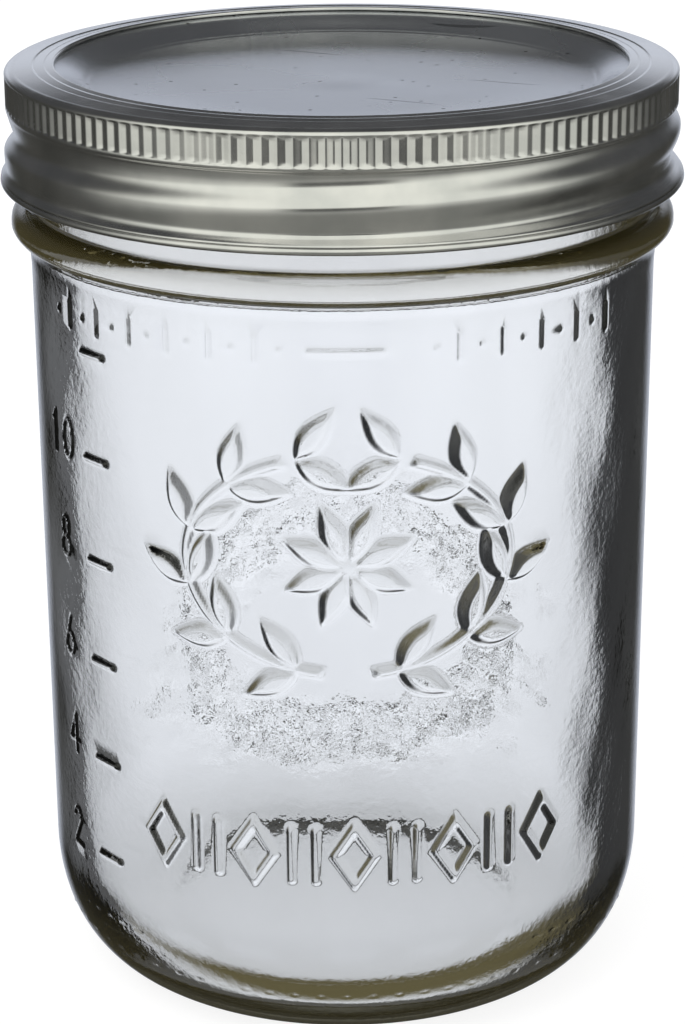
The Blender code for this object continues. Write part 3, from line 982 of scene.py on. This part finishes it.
# %% Glass jar: mesh
bm = spun(jar_outside() + jar_inside(), JAR_COLUMNS, closed=False)
for relief, cuts in ((front_relief, RELIEF_CUTS), (back_relief, GRAIN_CUTS), (dot_relief, DOT_CUTS)):
    faces = faces_under(bm, relief)
    print(len(faces), "faces of", len(bm.faces), "are cut", cuts, "times")
    split(bm, faces, cuts)
parting_rows = wall_faces(bm, PARTING - 3 * PARTING_HALF, PARTING + 3 * PARTING_HALF)
split(bm, parting_rows, RELIEF_CUTS, along=False)
jar = finished("jar_glass", bm, glass, "jar", "glass_jar")
sculpt(jar, jar_relief)

# %% [markdown]
# The lid is a disc of thin tinplate, pressed down inside its rim, and its panel dips a little
# more towards the middle. The ring of sealing compound under the rim is what touches the
# glass.

# %% Tinplate of the lid
FLECK_EDGE = (0.07, 0.11)
SCRATCH_TURN = (0.9, 0.43)
SCRATCH_STRETCH = 0.05
SCRATCH_EDGE = (0.028, 0.045)
SCRATCH_SHARE = 0.55
tin, plate = empty_material("lid_metal")
place_on_lid = plate.node("ShaderNodeTexCoord", output="Object")
grain = noise(place_on_lid, scale=900.0, detail=4.0)
cloud = noise(place_on_lid, scale=60.0, detail=3.0)
lid_bump = plate.node("ShaderNodeBump", {"Height": grain, "Strength": 0.5, "Distance": 0.004 * MM})
lid_axes = axes(place_on_lid)
fleck_place = plate.node(
    "ShaderNodeTexVoronoi", {"Vector": place_on_lid, "Scale": 330.0}, output="Distance"
)
fleck = 1.0 - fleck_place.step(*FLECK_EDGE)
scratch_line = plate.node(
    "ShaderNodeCombineXYZ",
    {
        "X": (lid_axes["X"] * SCRATCH_TURN[0] - lid_axes["Y"] * SCRATCH_TURN[1]) * SCRATCH_STRETCH,
        "Y": lid_axes["X"] * SCRATCH_TURN[1] + lid_axes["Y"] * SCRATCH_TURN[0],
    },
)
scratch_place = plate.node(
    "ShaderNodeTexVoronoi",
    {"Vector": scratch_line, "Scale": 150.0},
    output="Distance",
    voronoi_dimensions="2D",
)
scratch = 1.0 - scratch_place.step(*SCRATCH_EDGE)
tin_color = cloud.step(0.3, 0.7).mix(rgb(0.72, 0.735, 0.76), rgb(0.82, 0.835, 0.86))
tin_color = (scratch * SCRATCH_SHARE).mix(tin_color, rgb(0.10, 0.10, 0.10))
lid_skin = plate.node(
    "ShaderNodeBsdfPrincipled",
    {
        "Base Color": fleck.mix(tin_color, rgb(0.16, 0.16, 0.16)),
        "Metallic": 1.0,
        "Roughness": 0.22 + cloud * 0.10,
        "Normal": lid_bump,
    },
)
plate.node("ShaderNodeOutputMaterial", {"Surface": lid_skin})
print("the lid's metal is made with", len(tin.node_tree.nodes), "nodes")

# %% Lid
LID_TOP = lid_box[1].z
LID_RADIUS = lid_box[1].x
LID_SHEET = 0.3 * MM
LID_RIM = 4.3 * MM
LID_SLOPE = 4.8 * MM
LID_RECESS = 2.1 * MM
DISH_RADIUS = 19.0 * MM
DISH_RISE = 0.55 * MM
DISH_POWER = 2.4
PIP_RADIUS = 7.0 * MM
PIP_RISE = 0.05 * MM
SLOPE_START = 0.18
CREASE_HALF = 0.45 * MM
CREASE_RISE = 0.12 * MM
LID_ROW = 1.3 * MM
CREASE_ROW = 0.1 * MM
LID_COLUMNS = 160


def lid_line():
    """The upper face of the lid, from its centre to its edge."""
    slope_top = LID_RADIUS - LID_RIM
    panel = slope_top - LID_SLOPE
    low = LID_TOP - LID_RECESS - DISH_RISE
    points = []
    flat = rows(0, panel - 2 * CREASE_HALF, LID_ROW)
    for radius in flat + rows(panel - CREASE_HALF, panel, CREASE_ROW):
        dished = max(radius - DISH_RADIUS, 0.0) / (panel - DISH_RADIUS)
        pip = PIP_RISE * float(soft(1 - radius / PIP_RADIUS))
        crease = CREASE_RISE * float(soft(1 - (panel - radius) / CREASE_HALF))
        points.append((radius, low + DISH_RISE * dished**DISH_POWER + pip + crease))
    foot = float(soft(SLOPE_START))
    for share in spread(0, 1, 16)[1:]:
        risen = (float(soft(SLOPE_START + (1 - SLOPE_START) * share)) - foot) / (1 - foot)
        crease = CREASE_RISE * float(soft(1 - LID_SLOPE * share / CREASE_HALF))
        points.append((panel + LID_SLOPE * share, LID_TOP - LID_RECESS * (1 - risen) + crease))
    points += [(radius, LID_TOP) for radius in spread(slope_top, LID_RADIUS - LID_SHEET / 2, 6)[1:]]
    points.append((LID_RADIUS, LID_TOP - LID_SHEET / 2))
    return points


top_line = lid_line()
under_line = [(radius, height - LID_SHEET) for radius, height in reversed(top_line[:-1])]
plate_bm = spun(top_line + under_line, LID_COLUMNS, closed=False)
finished("lid_plate", plate_bm, tin, "lid", "lid_disc")

# %% Sealing ring
compound, rubber = empty_material("seal_rubber")
place_on_seal = rubber.node("ShaderNodeTexCoord", output="Object")
speckle = noise(place_on_seal, scale=700.0, detail=3.0)
seal_bump = rubber.node("ShaderNodeBump", {"Height": speckle, "Strength": 0.4, "Distance": 0.05 * MM})
seal_skin = rubber.node(
    "ShaderNodeBsdfPrincipled",
    {
        "Base Color": speckle.step(0.35, 0.65).mix(rgb(0.13, 0.12, 0.11), rgb(0.19, 0.18, 0.165)),
        "Roughness": 0.55 + speckle * 0.2,
        "Normal": seal_bump,
    },
)
rubber.node("ShaderNodeOutputMaterial", {"Surface": seal_skin})

SEAL_OUTER = seal_box[1].x
SEAL_WIDTH = 2.7 * MM
SEAL_COLUMNS = 144
seal_low, seal_high = seal_box[0].z, seal_box[1].z
seal_half = (seal_high - seal_low) / 2
seal_middle = SEAL_OUTER - SEAL_WIDTH / 2
section = []
for turn in spread(0, math.tau, 25)[:-1]:
    bulge = (abs(math.cos(turn)) ** 0.5 * math.copysign(1, math.cos(turn)), math.sin(turn))
    section.append(
        (seal_middle + SEAL_WIDTH / 2 * bulge[0], seal_low + seal_half * (1 + bulge[1]))
    )
finished("seal_ring", spun(section, SEAL_COLUMNS, closed=True), compound, "lid", "sealing_ring")

# %% [markdown]
# The screw band is rolled from tinplate too. Its flange lies over the lid's rim, its crown is
# knurled for grip with 144 upright flutes, its wall has the thread rolled into it, and its
# lower edge flares out into a narrow lip. The outline is closed, sheet and all. Only the rows
# of the knurl are split finer, into twelve columns to a flute.

# %% Steel of the band
DRAWN_STRETCH = 60.0
steel, strip = empty_material("band_metal")
place_on_band = strip.node("ShaderNodeTexCoord", output="Object")
band_axes = axes(place_on_band)
from_axis = strip.math(
    "SQRT", band_axes["X"] * band_axes["X"] + band_axes["Y"] * band_axes["Y"]
)
along_section = (from_axis + band_axes["Z"]) * DRAWN_STRETCH
drawn = strip.node(
    "ShaderNodeCombineXYZ", {"X": band_axes["X"], "Y": band_axes["Y"], "Z": along_section}
)
brushed = noise(drawn, scale=70.0, detail=4.0)
dull = noise(place_on_band, scale=130.0, detail=4.0)
band_bump = strip.node(
    "ShaderNodeBump", {"Height": brushed, "Strength": 0.5, "Distance": 0.004 * MM}
)
band_skin = strip.node(
    "ShaderNodeBsdfPrincipled",
    {
        "Base Color": dull.step(0.3, 0.75).mix(rgb(0.62, 0.62, 0.61), rgb(0.77, 0.76, 0.74)),
        "Metallic": 1.0,
        "Roughness": 0.13 + dull * 0.12,
        "Normal": band_bump,
    },
)
strip.node("ShaderNodeOutputMaterial", {"Surface": band_skin})
print("the band's metal is made with", len(steel.node_tree.nodes), "nodes")

# %% Band: outline
SHEET = 0.35 * MM
LID_GAP = 0.06 * MM
FLANGE_INNER = 37.45 * MM
HEM_ROUNDING = 0.25 * MM
FLANGE_FALL = 0.12
FLANGE_STEPS = {38.6 * MM: 0.05 * MM, 40.1 * MM: 0.12 * MM}
STEP_WIDTH = 0.28 * MM
CROWN_START = 42.7 * MM
KNURL_RADIUS = 44.0 * MM
KNURL_INNER = 43.4 * MM
CREST_RADIUS = 44.35 * MM
CREST_TOP = 117.0 * MM
FLUTES = 144
FLUTE_DEPTH = 0.24 * MM
FLUTE_RUNOUT = 0.35 * MM
KNURL_HIGH = BAND_TOP - 1.1 * MM
KNURL_LOW = BAND_TOP - 5.2 * MM
FLUTE_ROW = 0.45 * MM
RUNOUT_ROW = 0.09 * MM
WALL_ROW = 0.25 * MM
EDGE = 0.1 * MM
FLARE_RADIUS = band_box[1].x
FLARE_TOP = 112.1 * MM
FLARE_RISE = 1.5 * MM
LIP_RADIUS = 0.5 * MM
LIP_MIDDLE = BAND_BOTTOM + LIP_RADIUS
FLARE_POWER = 2.2
print("the flutes are", round(math.tau * KNURL_RADIUS / FLUTES / MM, 2), "mm apart")


def band_wall():
    """The wall from under the knurl to the lip, before the groove is rolled into it."""
    points = []
    for height in rows(KNURL_LOW, FLARE_TOP - FLARE_RISE, WALL_ROW)[1:]:
        out = float(soft((KNURL_LOW - height) / (KNURL_LOW - CREST_TOP)))
        flare = max(FLARE_TOP - height, 0.0) / FLARE_RISE
        wall = KNURL_RADIUS + (CREST_RADIUS - KNURL_RADIUS) * out
        points.append((wall + (FLARE_RADIUS - EDGE - CREST_RADIUS) * flare**FLARE_POWER, height))
    return points


def knurl_rows():
    """Close rows where the flutes run out, and wider ones between."""
    top = rows(KNURL_HIGH, KNURL_HIGH - FLUTE_RUNOUT, RUNOUT_ROW)
    foot = rows(KNURL_LOW + EDGE + FLUTE_RUNOUT, KNURL_LOW, RUNOUT_ROW)
    return top + rows(top[-1], foot[0], FLUTE_ROW)[1:-1] + foot


def band_outside():
    hem = (FLANGE_INNER + HEM_ROUNDING, BAND_TOP - HEM_ROUNDING)
    points = quarter(hem, -HEM_ROUNDING, HEM_ROUNDING, 4)
    for radius in rows(hem[0], CROWN_START, STEP_WIDTH / 4)[1:]:
        height = BAND_TOP - FLANGE_FALL * (radius - hem[0])
        for step_radius, rise in FLANGE_STEPS.items():
            height += rise * float(soft((radius - step_radius) / STEP_WIDTH))
        points.append((radius, height))
    crown_rise = points[-1][1] - KNURL_HIGH
    crown = quarter((CROWN_START, KNURL_HIGH), KNURL_RADIUS - CROWN_START, crown_rise, 20)
    points += crown[-3:0:-1]
    points += [(KNURL_RADIUS, height) for height in knurl_rows()]
    points += band_wall()
    for turn in spread(math.pi / 2, -math.pi / 2, 9):
        bulge = LIP_RADIUS * math.cos(turn) - LIP_RADIUS
        points.append((FLARE_RADIUS + bulge, LIP_MIDDLE + LIP_RADIUS * math.sin(turn)))
    return points


def band_inside():
    """The outside set in by the sheet, from the lip back up to the flange's inner edge."""
    points = [(FLARE_RADIUS - LIP_RADIUS - SHEET / 2, BAND_BOTTOM + EDGE)]
    points += [(radius - SHEET, height) for radius, height in reversed(band_wall())]
    points += [(KNURL_INNER, height) for height in spread(KNURL_LOW, KNURL_HIGH, 4)[:-1]]
    corner = (LID_RADIUS, KNURL_HIGH)
    points += quarter(corner, KNURL_INNER - corner[0], LID_TOP + LID_GAP - KNURL_HIGH, 5)
    points.append((FLANGE_INNER + EDGE, BAND_TOP - SHEET - EDGE))
    return points


# %% Rolling the band
BAND_COLUMNS = 2 * FLUTES
KNURL_CUTS = 5
GROOVE_DEPTH = 1.25 * MM
GROOVE_FADE_ABOVE = 0.8 * MM
GROOVE_FADE_BELOW = 1.2 * MM
FLUTE_SHARPNESS = 0.99


def knurl_faces(bm):
    faces = []
    for face in bm.faces:
        center = face.calc_center_median()
        outside = math.hypot(center.x, center.y) > (KNURL_RADIUS + KNURL_INNER) / 2
        if outside and KNURL_LOW < center.z < KNURL_HIGH:
            faces.append(face)
    return faces


def band_relief(radius, angle, height):
    """Rolls the groove into both sides of the wall, and the flutes into the knurl."""
    wall = (height < KNURL_LOW + WELD) & (height > FLARE_TOP - FLARE_RISE)
    room = soft((KNURL_LOW - height) / GROOVE_FADE_ABOVE)
    room = room * soft((height - FLARE_TOP + FLARE_RISE) / GROOVE_FADE_BELOW)
    pressed = GROOVE_DEPTH * helix_relief(BAND_GROOVE, angle, height) * room
    radius = np.where(wall, radius - pressed, radius)
    knurl = (radius > (KNURL_RADIUS + KNURL_INNER) / 2) & (height > KNURL_LOW - WELD)
    knurl = knurl & (height < KNURL_HIGH + WELD)
    flute = np.arccos(FLUTE_SHARPNESS * np.cos(angle * FLUTES)) / math.pi
    ends = soft((height - KNURL_LOW - EDGE) / FLUTE_RUNOUT)
    ends = ends * soft((KNURL_HIGH - height) / FLUTE_RUNOUT)
    return np.where(knurl, KNURL_RADIUS - FLUTE_DEPTH * flute * ends, radius)


# %% Band: mesh
bm = spun(band_outside() + band_inside(), BAND_COLUMNS, closed=True)
split(bm, knurl_faces(bm), KNURL_CUTS, along=False)
band = finished("band_steel", bm, steel, "band", "screw_band")
sculpt(band, band_relief)
